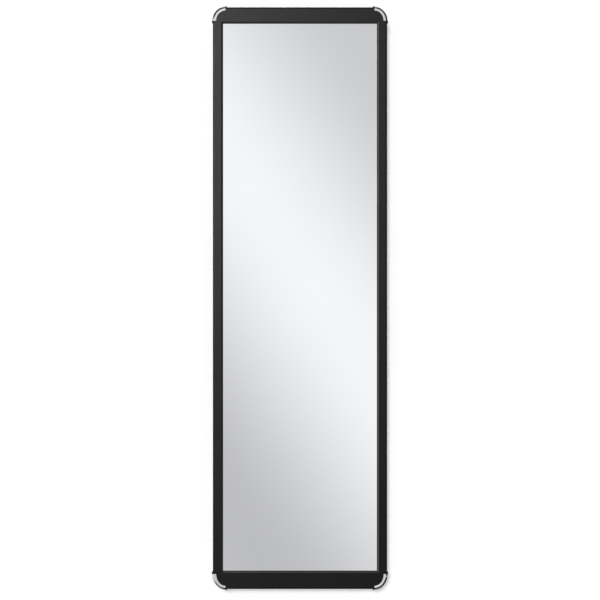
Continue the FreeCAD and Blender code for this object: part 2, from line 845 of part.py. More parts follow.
def middle_member(level):
    z = slide_centres[level]
    body = channel(member_back_x, slide_front_x, middle_web, middle_tip, middle_half, member_wall, z)
    lips = flange_pieces(member_back_x, slide_front_x, (middle_tip - member_wall, middle_tip),
                         inner_race - lip_reach, middle_half, z)
    front = flange_pieces(front_stop_x, front_stop_x + stop_length, stop_depth(inner_ball_depth),
                          inner_half + stop_clearance, middle_half, z)
    rear = flange_pieces(rear_stop_x, rear_stop_x + stop_length, stop_depth(outer_ball_depth),
                         inner_race, outer_race - stop_clearance, z)
    return merged(body, lips + front + rear)


def inner_member(level):
    z = slide_centres[level]
    body = channel(member_back_x, slide_front_x, slide_thickness, inner_tip, inner_half,
                   member_wall, z)
    rear = flange_pieces(rear_stop_x, rear_stop_x + stop_length, stop_depth(inner_ball_depth),
                         inner_half - member_wall, inner_race - stop_clearance, z)
    body = merged(body, rear)
    for x in member_screw_xs():
        body = body.cut(rod(member_screw_radius + thread_clearance, vec(x, slides_front_y, z),
                            vec(x, slides_front_y + 2 * member_wall, z)))
    for x in arm_screw_xs:
        body = body.cut(rod(arm_screw_radius + thread_clearance, vec(x, slides_front_y, z),
                            vec(x, slides_front_y + 2 * member_wall, z)))
    return body


def ball_xs():
    pitch = (cage_front_x - cage_back_x - 2 * ball_end_margin) / (balls_per_row - 1)
    return [cage_back_x + ball_end_margin + i * pitch for i in range(balls_per_row)]


def ball_cage(level, web, ball_depth, ball_radius, ball_z, race_lip):
    """Thin channel with a round pocket for each ball; it ends midway between balls and lip."""
    z = slide_centres[level]
    half = ball_z + cage_wall / 2
    tip = (ball_depth + ball_radius + race_lip) / 2
    body = channel(cage_back_x, cage_front_x, web, tip, half, cage_wall, z)
    y = -plate_thickness - ball_depth
    for x in ball_xs():
        for sign in (-1, 1):
            body = body.cut(rod(ball_radius + pocket_clearance,
                                vec(x, y, z + sign * (half - 2 * cage_wall)),
                                vec(x, y, z + sign * (half + cage_wall))))
    return body


def balls(level, ball_depth, ball_radius, ball_z):
    z = slide_centres[level]
    y = -plate_thickness - ball_depth
    return Part.makeCompound([Part.makeSphere(ball_radius, vec(x, y, z + sign * ball_z))
                              for x in ball_xs() for sign in (-1, 1)])


def closing_bumpers():
    """Rubber blocks in the back of each outer member that the moving members close on."""
    half = inner_half - closing_bumper_inset
    return Part.makeCompound([slide_box(slide_back_x, slide_back_x + closing_bumper_length,
                                        (member_wall, middle_tip - member_wall), -half, half, z)
                              for z in slide_centres.values()])


# ---------------------------------------------------------------- mounting plate

def rivet_xs():
    pitch = rivet_span / (rivets_per_slide - 1)
    return [-rivet_span / 2 + i * pitch for i in range(rivets_per_slide)]


def rivet_shape(x, z, clearance):
    """Flush head in the plate's back and a shank through the outer member's web."""
    start = vec(x, 0, z)
    cone = Part.makeCone(rivet_head_radius + clearance, rivet_radius + clearance, rivet_head_depth,
                         start, FORWARD)
    return merged(cone, [rod(rivet_radius + clearance, start,
                             start + FORWARD * (plate_thickness + member_wall))])


def slide_rivets():
    return Part.makeCompound([rivet_shape(x, z, 0) for z in slide_centres.values()
                              for x in rivet_xs()])


def mounting_plate():
    """Plate that is screwed to the cabinet panel and carries both outer members."""
    half = slide_spacing / 2 + slide_height / 2 + plate_margin
    body = plate(-plate_end_x, plate_end_x, 0, -plate_thickness, -half, half, plate_corner_radius)
    window_z = slide_inner_edge_z - window_slide_margin
    for sign in (-1, 1):
        window = plate(sign * window_web / 2, sign * (plate_end_x - window_end_margin), 0,
                       -plate_thickness, -window_z, window_z, window_corner_radius)
        body = body.cut(window)
        for end in (-1, 1):
            hole = vec(sign * mount_x, 0, end * mount_z)
            body = body.cut(rod(mount_hole_radius, hole, hole + FORWARD * plate_thickness))
    for z in slide_centres.values():
        for x in rivet_xs():
            body = body.cut(rivet_shape(x, z, thread_clearance))
    return body


# ---------------------------------------------------------------- every node

def nodes():
    parts = {
        "mounting_plate": mounting_plate(),
        "slide_rivets": slide_rivets(),
        "closing_bumpers": closing_bumpers(),
        "carriage_plate": carriage_plate(),
        "member_screws": member_screws(),
        "arm_screws": arm_screws(),
        "pivot_post": pivot_post(),
        "post_rings": post_rings(),
        "swivel_washers": swivel_washers(),
        "rest_bumpers": rest_bumpers(),
        "catch_housing": catch_housing(),
        "catch_magnet": magnet(),
        "catch_screws": catch_screws(),
        "strike_plate": strike_plate(),
        "strike_screws": strike_screws(),
        "backing_board": backing_board(),
        "mirror_glass": sheet((glass_depth, tape_depth)),
        "glazing_gasket": groove_strips(glass_bite, (gasket_depth, glass_depth)),
        "cushion_tape": groove_strips(tape_width, (tape_depth, board_depth)),
        "corner_screws": corner_screws(),
        "pivot_bushes": pivot_bushes(),
        "backing_bars": backing_bars(),
        "bracket_screws": bracket_screws(),
        "stile_hinge_side": stile(1),
        "stile_free_side": stile(-1),
        "rail_top": rail(1),
        "rail_bottom": rail(-1),
    }
    for level in slide_centres:
        parts["slide_outer_" + level] = outer_member(level)
        parts["slide_middle_" + level] = middle_member(level)
        parts["slide_inner_" + level] = inner_member(level)
        outer = (outer_ball_depth, outer_ball_radius, outer_ball_z)
        inner = (inner_ball_depth, inner_ball_radius, inner_ball_z)
        parts["outer_cage_" + level] = ball_cage(level, outer_cage_web, *outer, outer_tip - member_wall)
        parts["inner_cage_" + level] = ball_cage(level, inner_cage_web, *inner, middle_tip - member_wall)
        parts["outer_balls_" + level] = balls(level, *outer)
        parts["inner_balls_" + level] = balls(level, *inner)
        parts["pivot_arm_" + level] = pivot_arm(level)
        parts["hinge_bracket_" + level] = hinge_bracket(level)
    for end_name, end in (("top", 1), ("bottom", -1)):
        for side_name, side in (("hinge_side", 1), ("free_side", -1)):
            parts["corner_" + end_name + "_" + side_name] = corner(side, end)
            parts["corner_trim_" + end_name + "_" + side_name] = corner_trim(side, end)
    return parts


os.makedirs("parts", exist_ok=True)
for name, shape in nodes().items():
    shape.exportStep("parts/" + name + ".step")
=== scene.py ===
import json
import math

import bmesh
import bpy
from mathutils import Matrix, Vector


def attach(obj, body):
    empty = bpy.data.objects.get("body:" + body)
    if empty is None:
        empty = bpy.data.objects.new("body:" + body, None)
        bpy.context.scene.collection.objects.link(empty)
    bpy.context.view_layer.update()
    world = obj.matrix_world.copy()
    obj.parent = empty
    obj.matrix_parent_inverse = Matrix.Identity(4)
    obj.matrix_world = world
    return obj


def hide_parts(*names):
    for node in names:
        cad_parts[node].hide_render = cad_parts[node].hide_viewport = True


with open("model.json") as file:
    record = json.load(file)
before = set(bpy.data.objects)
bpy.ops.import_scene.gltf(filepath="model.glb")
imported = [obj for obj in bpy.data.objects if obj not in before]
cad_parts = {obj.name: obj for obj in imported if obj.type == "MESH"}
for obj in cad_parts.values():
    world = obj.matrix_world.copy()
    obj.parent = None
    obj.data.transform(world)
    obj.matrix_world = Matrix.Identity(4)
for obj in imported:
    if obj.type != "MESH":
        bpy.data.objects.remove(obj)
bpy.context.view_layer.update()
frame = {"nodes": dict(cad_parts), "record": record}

# Pull-out closet mirror.  Lengths are metres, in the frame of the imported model: +Z is up,
# the glass faces -Y and the closet panel lies on the plane y = 0.

NODES = frame["nodes"]

RISING = (0.0, 1.0)
FALLING = (1.0, 0.0)
WHITE = (1.0, 1.0, 1.0, 1.0)

# The values that textures mostly take.
NOISE_SPAN = (0.3, 0.7)
CLOUD_SPAN = (0.35, 0.65)
CELL_SPAN = (0.0, 0.5)


# ---------------------------------------------------------------- node building

def new_tree(name):
    """New material with an empty node tree."""
    material = bpy.data.materials.new(name)
    material.use_nodes = True
    material.node_tree.nodes.clear()
    return material, material.node_tree


def put(tree, kind, inputs=(), **settings):
    """Adds a node.  An input given as a socket is linked, any other value is set on it."""
    made = tree.nodes.new(kind)
    for name, value in settings.items():
        setattr(made, name, value)
    for name, value in dict(inputs).items():
        socket = made.inputs[name]
        if isinstance(value, bpy.types.NodeSocket):
            tree.links.new(value, socket)
        else:
            socket.default_value = value
    return made


def place(tree, stretch=(1.0, 1.0, 1.0)):
    """Position on the piece in metres, with each axis scaled."""
    where = put(tree, "ShaderNodeTexCoord").outputs["Object"]
    return put(tree, "ShaderNodeMapping", {"Vector": where, "Scale": stretch}).outputs["Vector"]


def noise(tree, where, scale, detail, roughness=0.5):
    """Smooth random value; scale is in waves to a metre."""
    return put(tree, "ShaderNodeTexNoise", {"Vector": where, "Scale": scale, "Detail": detail,
                                            "Roughness": roughness}).outputs["Fac"]


def cells(tree, where, scale):
    """Distance to the middle of the nearest random cell."""
    return put(tree, "ShaderNodeTexVoronoi", {"Vector": where, "Scale": scale}).outputs["Distance"]


def remap(tree, value, old, new):
    """Spreads old[0]..old[1] over new[0]..new[1] and holds the ends."""
    return put(tree, "ShaderNodeMapRange",
               {"Value": value, "From Min": old[0], "From Max": old[1], "To Min": new[0],
                "To Max": new[1]}, clamp=True).outputs["Result"]


def maths(tree, operation, first, second):
    """Result of an operation on two numbers, each a socket or a value."""
    made = put(tree, "ShaderNodeMath", {0: first, 1: second}, operation=operation)
    return made.outputs["Value"]


def blend_colours(tree, share, first, second):
    """Colour between first and second; each is a socket or a tuple of three."""
    made = put(tree, "ShaderNodeMix", {0: share}, data_type="RGBA")
    for index, colour in ((6, first), (7, second)):
        if isinstance(colour, bpy.types.NodeSocket):
            tree.links.new(colour, made.inputs[index])
        else:
            made.inputs[index].default_value = (*colour, 1.0)
    return made.outputs[2]


def relief(tree, layers):
    """Normal from (height, depth in metres) layers, the finest last."""
    normal = None
    for height, depth in layers:
        bump = put(tree, "ShaderNodeBump", {"Height": height, "Distance": depth, "Strength": 1.0})
        if normal is not None:
            tree.links.new(normal, bump.inputs["Normal"])
        normal = bump.outputs["Normal"]
    return normal


def aimed(tree, direction, way):
    """How closely a direction follows a way; both have length one."""
    return put(tree, "ShaderNodeVectorMath", {0: direction, 1: way},
               operation="DOT_PRODUCT").outputs["Value"]


def leaning(tree, ways, span):
    """How much the surface leans along the nearest of some ways, with span spread over 0..1."""
    normal = put(tree, "ShaderNodeTexCoord").outputs["Normal"]
    share = None
    for way in ways:
        lean = remap(tree, aimed(tree, normal, way), span, RISING)
        share = lean if share is None else maths(tree, "MAXIMUM", share, lean)
    return share


def mixed(tree, share, first, second):
    """Number between first and second, each a socket or a value."""
    return put(tree, "ShaderNodeMix", {0: share, 2: first, 3: second}).outputs[0]


def surface(tree, inputs):
    """Principled shader with its output."""
    shader = put(tree, "ShaderNodeBsdfPrincipled", inputs)
    put(tree, "ShaderNodeOutputMaterial", {"Surface": shader.outputs["BSDF"]})
    return shader


# ---------------------------------------------------------------- materials

coat_ior = 1.7
face_gloss = 0.083
side_gloss = 0.85
back_gloss = 0.16
rim_gloss = 0.85
edge_gloss = 0.0
rim_roughness = 0.30
rim_depth = (-0.0500, -0.0496)

# How far a normal leans some way, from where a zone begins to where it is whole.
flat_lean = (0.5, 0.8)
slope_lean = (0.35, 0.50)
lip_lean = (0.80, 0.95)
rounded_lean = (0.30, 0.50)
outer_wall_lean = (0.97, 0.995)

FRONT = ((0.0, -1.0, 0.0),)
BACK = ((0.0, 1.0, 0.0),)
WAYS = {"hinge_side": (-1.0, 0.0, 0.0), "free_side": (1.0, 0.0, 0.0),
        "top": (0.0, 0.0, -1.0), "bottom": (0.0, 0.0, 1.0)}


def frame_coat(tree, colour, rough, normal, inward):
    """Low-gloss black: dull on the face, dark on its rounded edge and the lip, polished slope.

    inward holds the ways from the piece to the glass.
    """
    outward = [tuple(-part for part in way) for way in inward]
    where = put(tree, "ShaderNodeTexCoord").outputs["Object"]
    depth = put(tree, "ShaderNodeSeparateXYZ", {"Vector": where}).outputs["Y"]
    rim = maths(tree, "MULTIPLY", leaning(tree, inward, slope_lean),
                remap(tree, depth, rim_depth, FALLING))
    edge = maths(tree, "SUBTRACT", leaning(tree, outward, rounded_lean),
                 leaning(tree, outward, outer_wall_lean))
    edge = maths(tree, "MAXIMUM", edge, leaning(tree, inward, lip_lean))
    gloss = remap(tree, leaning(tree, BACK, flat_lean), RISING, (side_gloss, back_gloss))
    gloss = mixed(tree, leaning(tree, FRONT, flat_lean), gloss, face_gloss)
    gloss = mixed(tree, edge, gloss, edge_gloss)
    shader = surface(tree, {"Base Color": colour, "IOR": coat_ior, "Normal": normal,
                            "Roughness": mixed(tree, rim, rough, rim_roughness),
                            "Specular IOR Level": mixed(tree, rim, gloss, rim_gloss)})
    # Where a linked level is dropped, the whole coat takes the face's.
    shader.inputs["Specular IOR Level"].default_value = face_gloss


def satin_black(name, stretch, inward):
    """Satin black coat on an extrusion, with faint drawing lines along it."""
    material, tree = new_tree(name)
    here = place(tree)
    lines = noise(tree, place(tree, stretch), scale=900.0, detail=2.0)
    clouds = noise(tree, here, scale=9.0, detail=4.0)
    grain = noise(tree, here, scale=2600.0, detail=2.0)
    colour = blend_colours(tree, remap(tree, clouds, NOISE_SPAN, RISING),
                           (0.0029, 0.0029, 0.0032), (0.0043, 0.0043, 0.0047))
    rough = maths(tree, "ADD", remap(tree, lines, NOISE_SPAN, (0.42, 0.47)),
                  remap(tree, clouds, NOISE_SPAN, (-0.02, 0.02)))
    frame_coat(tree, colour, rough, relief(tree, ((lines, 0.000006), (grain, 0.000004))), inward)
    return material


def corner_black(name, inward):
    """Moulded corner in the frame's black, a little duller."""
    material, tree = new_tree(name)
    here = place(tree)
    clouds = noise(tree, here, scale=30.0, detail=4.0)
    grain = noise(tree, here, scale=1500.0, detail=3.0)
    colour = blend_colours(tree, remap(tree, clouds, NOISE_SPAN, RISING),
                           (0.0029, 0.0029, 0.0032), (0.0040, 0.0040, 0.0044))
    rough = remap(tree, grain, NOISE_SPAN, (0.42, 0.49))
    frame_coat(tree, colour, rough, relief(tree, ((grain, 0.00001),)), inward)
    return material


def moulded_black(name, base, roughness, texture_scale, texture_depth):
    """Black plastic or rubber with a moulded grain and slight bloom."""
    material, tree = new_tree(name)
    here = place(tree)
    clouds = noise(tree, here, scale=30.0, detail=4.0)
    grain = noise(tree, here, scale=texture_scale, detail=3.0)
    colour = blend_colours(tree, remap(tree, clouds, NOISE_SPAN, RISING),
                           base, tuple(1.35 * part for part in base))
    rough = remap(tree, grain, NOISE_SPAN, (roughness - 0.05, roughness + 0.06))
    surface(tree, {"Base Color": colour, "Roughness": rough, "Specular IOR Level": 0.2,
                   "Normal": relief(tree, ((grain, texture_depth),))})
    return material


def powder_coat(name, base):
    """Fine-textured powder coat on steel, rubbed a little brighter in places."""
    material, tree = new_tree(name)
    here = place(tree)
    peel = noise(tree, here, scale=420.0, detail=2.0)
    sand = noise(tree, here, scale=1900.0, detail=2.0)
    rub = noise(tree, here, scale=16.0, detail=5.0, roughness=0.6)
    worn = remap(tree, rub, (0.52, 0.72), RISING)
    colour = blend_colours(tree, worn, base, tuple(1.7 * part for part in base))
    rough = maths(tree, "ADD", remap(tree, sand, NOISE_SPAN, (0.46, 0.58)),
                  remap(tree, worn, RISING, (0.0, -0.08)))
    surface(tree, {"Base Color": colour, "Roughness": rough,
                   "Normal": relief(tree, ((peel, 0.00004), (sand, 0.000012)))})
    return material


def chrome(name):
    """Bright plating with a slight haze and ripple."""
    material, tree = new_tree(name)
    here = place(tree)
    haze = noise(tree, here, scale=60.0, detail=3.0)
    ripple = noise(tree, here, scale=140.0, detail=1.0)
    colour = blend_colours(tree, haze, (0.86, 0.87, 0.88), (0.92, 0.925, 0.93))
    rough = remap(tree, haze, NOISE_SPAN, (0.10, 0.17))
    surface(tree, {"Base Color": colour, "Metallic": 1.0, "Roughness": rough,
                   "Normal": relief(tree, ((ripple, 0.00001),))})
    return material


def silvered_glass(name):
    """Mirror: a perfect shine with a faint cloudiness in its colour and a slow float wave."""
    material, tree = new_tree(name)
    here = place(tree)
    film = noise(tree, here, scale=7.0, detail=4.0)
    float_wave = noise(tree, here, scale=2.0, detail=1.0)
    colour = blend_colours(tree, remap(tree, film, CLOUD_SPAN, RISING),
                           (0.911, 0.918, 0.933), (0.919, 0.926, 0.941))
    surface(tree, {"Base Color": colour, "Metallic": 1.0, "Roughness": 0.0,
                   "Normal": relief(tree, ((float_wave, 0.00003),))})
    return material


def plated_steel(name, tones, roughness, stretch, line_depth):
    """Zinc-plated or drawn steel: cloudy plating over lines left by rolling."""
    material, tree = new_tree(name)
    here = place(tree)
    lines = noise(tree, place(tree, stretch), scale=1100.0, detail=3.0)
    clouds = noise(tree, here, scale=26.0, detail=5.0, roughness=0.6)
    spangle = cells(tree, here, scale=320.0)
    tint = blend_colours(tree, remap(tree, clouds, CLOUD_SPAN, RISING), *tones)
    shade = remap(tree, spangle, (0.0, 0.6), (0.93, 1.0))
    colour = put(tree, "ShaderNodeMix", {0: 1.0, 6: tint, 7: shade}, data_type="RGBA",
                 blend_type="MULTIPLY")
    rough = maths(tree, "ADD",
                  remap(tree, lines, NOISE_SPAN, (roughness - 0.06, roughness + 0.06)),
                  remap(tree, clouds, NOISE_SPAN, (-0.04, 0.06)))
    surface(tree, {"Base Color": colour.outputs[2], "Metallic": 1.0, "Roughness": rough,
                   "Normal": relief(tree, ((lines, line_depth),))})
    return material


def hardboard(name):
    """Pressed wood fibre: smooth brown sheet with darker and paler fibres."""
    material, tree = new_tree(name)
    here = place(tree)
    fibres = noise(tree, place(tree, (1.0, 1.0, 0.35)), scale=700.0, detail=5.0, roughness=0.7)
    flakes = cells(tree, place(tree, (1.0, 1.0, 0.6)), scale=260.0)
    clouds = noise(tree, here, scale=6.0, detail=5.0, roughness=0.6)
    brown = blend_colours(tree, remap(tree, fibres, (0.3, 0.72), RISING),
                          (0.125, 0.068, 0.034), (0.255, 0.155, 0.085))
    toned = blend_colours(tree, remap(tree, clouds, (0.35, 0.7), (0.0, 0.45)), brown,
                          (0.19, 0.108, 0.056))
    flecked = blend_colours(tree, remap(tree, flakes, (0.0, 0.16), (0.35, 0.0)), toned,
                            (0.33, 0.23, 0.14))
    rough = remap(tree, fibres, NOISE_SPAN, (0.62, 0.8))
    surface(tree, {"Base Color": flecked, "Roughness": rough,
                   "Normal": relief(tree, ((fibres, 0.00005),))})
    return material


def foam(name):
    """Pale foam tape with open pores, painted darker towards each pore's middle as shade in its
    hollow.
    """
    material, tree = new_tree(name)
    here = place(tree)
    pores = cells(tree, here, scale=900.0)
    clouds = noise(tree, here, scale=40.0, detail=3.0)
    # Painted shade: the colour darkens towards each pore's middle, where the bump sinks it.
    colour = blend_colours(tree, remap(tree, pores, CELL_SPAN, RISING),
                           (0.40, 0.40, 0.38), (0.72, 0.71, 0.68))
    rough = remap(tree, clouds, NOISE_SPAN, (0.8, 0.95))
    surface(tree, {"Base Color": colour, "Roughness": rough,
                   "Normal": relief(tree, ((pores, 0.0002),))})
    return material


def natural_plastic(name):
    """Uncoloured nylon, clouded ivory."""
    material, tree = new_tree(name)
    here = place(tree)
    clouds = noise(tree, here, scale=90.0, detail=4.0)
    grain = noise(tree, here, scale=1800.0, detail=2.0)
    colour = blend_colours(tree, remap(tree, clouds, NOISE_SPAN, RISING),
                           (0.66, 0.63, 0.54), (0.76, 0.74, 0.66))
    rough = remap(tree, grain, NOISE_SPAN, (0.34, 0.46))
    surface(tree, {"Base Color": colour, "Roughness": rough,
                   "Normal": relief(tree, ((grain, 0.00001),))})
    return material


def ferrite(name):
    """Dark sintered magnet with grinding marks."""
    material, tree = new_tree(name)
    here = place(tree)
    specks = cells(tree, here, scale=1500.0)
    grind = noise(tree, place(tree, (0.05, 1.0, 1.0)), scale=1600.0, detail=2.0)
    colour = blend_colours(tree, remap(tree, specks, CELL_SPAN, RISING),
                           (0.035, 0.035, 0.038), (0.085, 0.085, 0.09))
    rough = remap(tree, grind, NOISE_SPAN, (0.34, 0.5))
    surface(tree, {"Base Color": colour, "Metallic": 0.35, "Roughness": rough,
                   "Normal": relief(tree, ((grind, 0.00001),))})
    return material


# Which way the lines of a texture run.
ALONG_X = (0.02, 1.0, 1.0)
ALONG_Z = (1.0, 1.0, 0.02)
EVERY_WAY = (1.0, 1.0, 1.0)

# The two tones between which a metal clouds.
ZINC = ((0.56, 0.58, 0.61), (0.66, 0.655, 0.63))
STEEL = ((0.46, 0.465, 0.48), (0.54, 0.535, 0.52))
BRIGHT = ((0.60, 0.61, 0.63), (0.68, 0.68, 0.675))

finishes = {
    "bright_trim": chrome("bright_trim"),
    "mirror": silvered_glass("silvered_glass"),
    "board": hardboard("hardboard"),
    "foam_tape": foam("foam_tape"),
    "bush_plastic": natural_plastic("bush_plastic"),
    "magnet": ferrite("magnet"),
    "black_plate": powder_coat("black_plate", base=(0.017, 0.017, 0.018)),
    "hinge_steel": powder_coat("hinge_steel", base=(0.020, 0.020, 0.021)),
    "gasket": moulded_black("gasket", base=(0.016, 0.016, 0.016), roughness=0.62,
                            texture_scale=1200.0, texture_depth=0.00002),
    "bumper_rubber": moulded_black("bumper_rubber", base=(0.02, 0.02, 0.02), roughness=0.7,
                                   texture_scale=900.0, texture_depth=0.00003),
    "catch_plastic": moulded_black("catch_plastic", base=(0.024, 0.024, 0.025), roughness=0.5,
                                   texture_scale=1200.0, texture_depth=0.00002),
    "slide_steel": plated_steel("slide_steel", ZINC, roughness=0.30, stretch=ALONG_X,
                                line_depth=0.000006),
    "cage_steel": plated_steel("cage_steel", STEEL, roughness=0.38, stretch=ALONG_X,
                               line_depth=0.000004),
    "ball_steel": plated_steel("ball_steel", BRIGHT, roughness=0.14, stretch=EVERY_WAY,
                               line_depth=0.000001),
    "bright_steel": plated_steel("bright_steel", BRIGHT, roughness=0.24, stretch=ALONG_Z,
                                 line_depth=0.000004),
    "screw_steel": plated_steel("screw_steel", ZINC, roughness=0.28, stretch=EVERY_WAY,
                                line_depth=0.000004),
}


def dress(piece, material):
    """Gives every face of a piece one material."""
    piece.data.materials.clear()
    piece.data.materials.append(material)


slot_of = {part["node"]: part["material_slot"] for part in frame["record"]["subparts"]}
for name, piece in NODES.items():
    inward = [WAYS[place_name] for place_name in WAYS if place_name in name]
    if name.startswith("stile_"):
        dress(piece, satin_black("satin_" + name, ALONG_Z, inward))
    elif name.startswith("rail_"):
        dress(piece, satin_black("satin_" + name, ALONG_X, inward))
    elif slot_of[name] == "corner_plastic":
        dress(piece, corner_black("plastic_" + name, inward))
    else:
        dress(piece, finishes[slot_of[name]])


# ---------------------------------------------------------------- corner trims

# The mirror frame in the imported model.
half_width = 0.18255
half_height = 0.6096
face_y = -0.0512
frame_depth = 0.018

# Centre of the rings from the frame's outline, at the top (1) and at the bottom (-1).
trim_centre_across = 0.0264
trim_centre_along = {1: 0.0287, -1: 0.0318}

# Their section: outer, lining, inner and crest lie that far inside the outline, and front,
# floor and foot that far behind the face; a round is a radius.
trim_outer = -0.0016
trim_lining = -0.0001
trim_inner = 0.0076
trim_front = -0.0006
trim_floor = 0.0028
trim_crest = 0.0029
trim_foot = 0.0027
trim_foot_round = 0.0034
trim_crest_round = 0.0020
trim_inner_round = 0.0010
round_steps = 8
arc_steps = 64
crease_degrees = 35.0


def filleted(before, corner, after, radius):
    """Points of the arc that rounds a corner of a section; before and after lie beyond it."""
    corner = Vector(corner)
    first = (Vector(before) - corner).normalized()
    second = (Vector(after) - corner).normalized()
    half = first.angle(second) / 2
    centre = corner + (first + second).normalized() * (radius / math.sin(half))
    reach = radius / math.tan(half)
    start = corner + first * reach - centre
    end = corner + second * reach - centre
    swing = math.pi - 2 * half
    points = []
    for step in range(round_steps + 1):
        share = step / round_steps
        arm = start * math.sin((1 - share) * swing) + end * math.sin(share * swing)
        points.append(tuple(centre + arm / math.sin(swing)))
    return points


def trim_section():
    """Closed outline in (distance inside the rim, depth behind the face)."""
    back = (trim_outer, frame_depth)
    foot = (trim_outer, trim_foot)
    crest = (trim_crest, trim_front)
    inner = (trim_inner, trim_front)
    under = (trim_inner, trim_floor)
    outline = [back]
    outline += filleted(back, foot, crest, trim_foot_round)
    outline += filleted(foot, crest, inner, trim_crest_round)
    outline += filleted(crest, inner, under, trim_inner_round)
    outline += [under, (trim_lining, trim_floor), (trim_lining, frame_depth)]
    return outline


def sweep_trim(side, end):
    """Quarter ring with rounded edges that follows the corner's elliptical outline."""
    section = trim_section()
    mesh = bmesh.new()
    rings = []
    for step in range(arc_steps + 1):
        angle = math.radians(90 * step / arc_steps)
        ring = []
        for inside, depth in section:
            across = trim_centre_across - (trim_centre_across - inside) * math.cos(angle)
            along = trim_centre_along[end] - (trim_centre_along[end] - inside) * math.sin(angle)
            ring.append(mesh.verts.new((side * (half_width - across), face_y + depth,
                                        end * (half_height - along))))
        rings.append(ring)
    count = len(section)
    for first, second in zip(rings, rings[1:]):
        for index in range(count):
            after = (index + 1) % count
            mesh.faces.new((first[index], first[after], second[after], second[index]))
    mesh.faces.new(rings[0])
    mesh.faces.new(list(reversed(rings[-1])))
    bmesh.ops.recalc_face_normals(mesh, faces=mesh.faces)
    data = bpy.data.meshes.new("trim")
    mesh.to_mesh(data)
    mesh.free()
    data.shade_smooth()
    data.set_sharp_from_angle(angle=math.radians(crease_degrees))
    return data


trims = []
for end_name, end in (("top", 1), ("bottom", -1)):
    for side_name, side in (("hinge_side", 1), ("free_side", -1)):
        node_name = f"corner_trim_{end_name}_{side_name}"
        trim = bpy.data.objects.new(f"trim_{end_name}_{side_name}", sweep_trim(side, end))
        bpy.context.scene.collection.objects.link(trim)
        dress(trim, finishes["bright_trim"])
        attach(trim, "mirror")
        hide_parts(node_name)
        trims.append(trim)


# ---------------------------------------------------------------- stage

wall_y = 0.0012
wall_reach = 12.0
floor_z = -1.1
floor_reach = 2.6
sheet_colour = (0.80, 0.80, 0.80, 1.0)
backdrop_glow = 0.33
floor_glow = 0.56

# Distances from the floor's middle: duller shine sees the sheets from the first on, and no
# shine at all sees them past the second.
sheet_near = (1.6, 2.0)
sheet_fade = (1.4, 2.5)


def stage_material(name, glow_level):
    """White sheet that keeps shadows.

    Lamps pass through it from behind.  A mirror shows it only near the object, and duller
    shine only a little away from it.
    """
    material, tree = new_tree(name)
    diffuse = put(tree, "ShaderNodeBsdfDiffuse", {"Color": sheet_colour})
    glow = put(tree, "ShaderNodeEmission", {"Color": WHITE, "Strength": glow_level})
    lit = put(tree, "ShaderNodeAddShader", {0: diffuse.outputs[0], 1: glow.outputs[0]})
    clear = put(tree, "ShaderNodeBsdfTransparent")
    where = put(tree, "ShaderNodeTexCoord").outputs["Object"]
    away = put(tree, "ShaderNodeVectorMath", {0: where, 1: (0.0, 0.0, floor_z)},
               operation="DISTANCE").outputs["Value"]
    far = remap(tree, away, sheet_near, RISING)
    within = remap(tree, away, sheet_fade, FALLING)
    rays = put(tree, "ShaderNodeLightPath").outputs
    mirrored = maths(tree, "MAXIMUM", rays["Is Singular Ray"],
                     maths(tree, "MULTIPLY", rays["Is Glossy Ray"], far))
    straight = maths(tree, "MAXIMUM", rays["Is Camera Ray"], rays["Is Transmission Ray"])
    seen = maths(tree, "MAXIMUM", straight, maths(tree, "MULTIPLY", mirrored, within))
    back = put(tree, "ShaderNodeNewGeometry").outputs["Backfacing"]
    share = maths(tree, "MAXIMUM", maths(tree, "SUBTRACT", seen, back), 0.0)
    mix = put(tree, "ShaderNodeMixShader", {0: share, 1: clear.outputs[0], 2: lit.outputs[0]})
    put(tree, "ShaderNodeOutputMaterial", {"Surface": mix.outputs[0]})
    return material


def stage_sheet(name, corners, material):
    """Flat sheet of the stage with these four corners."""
    data = bpy.data.meshes.new(name)
    data.from_pydata(corners, [], [(0, 1, 2, 3)])
    sheet = bpy.data.objects.new(name, data)
    bpy.context.scene.collection.objects.link(sheet)
    dress(sheet, material)


stage_sheet("backdrop", [(-wall_reach, wall_y, -wall_reach), (wall_reach, wall_y, -wall_reach),
                         (wall_reach, wall_y, wall_reach), (-wall_reach, wall_y, wall_reach)],
            stage_material("backdrop_white", backdrop_glow))
stage_sheet("floor", [(-floor_reach, -floor_reach, floor_z), (floor_reach, -floor_reach, floor_z),
                      (floor_reach, floor_reach, floor_z), (-floor_reach, floor_reach, floor_z)],
            stage_material("floor_pale", floor_glow))


# ---------------------------------------------------------------- light

def sun(name, towards, strength, angle):
    """Distant lamp that gives no shine; at strength pi a facing surface shows its own colour."""
    lamp = bpy.data.lights.new(name, "SUN")
    lamp.energy = strength
    lamp.angle = math.radians(angle)
    made = bpy.data.objects.new(name, lamp)
    made.rotation_mode = "QUATERNION"
    made.rotation_quaternion = Vector(towards).to_track_quat("-Z", "Y")
    made.visible_glossy = False
    bpy.context.scene.collection.objects.link(made)


def softbox(name, where, aim, size, power):
    """Round lamp that gives shine only and can't be seen itself."""
    lamp = bpy.data.lights.new(name, "AREA")
    lamp.shape = "DISK"
    lamp.size = size
    lamp.energy = power
    made = bpy.data.objects.new(name, lamp)
    made.location = where
    made.rotation_mode = "QUATERNION"
    made.rotation_quaternion = (Vector(aim) - Vector(where)).to_track_quat("-Z", "Y")
    made.visible_camera = False
    made.visible_diffuse = False
    bpy.context.scene.collection.objects.link(made)
    return made


def keep_off(lamp, pieces):
    """Keeps a lamp's light off some pieces."""
    spared = bpy.data.collections.new(lamp.name + "_spared")
    for piece in pieces:
        spared.objects.link(piece)
    for entry in spared.collection_objects:
        entry.light_linking.link_state = "EXCLUDE"
    lamp.light_linking.receiver_collection = spared


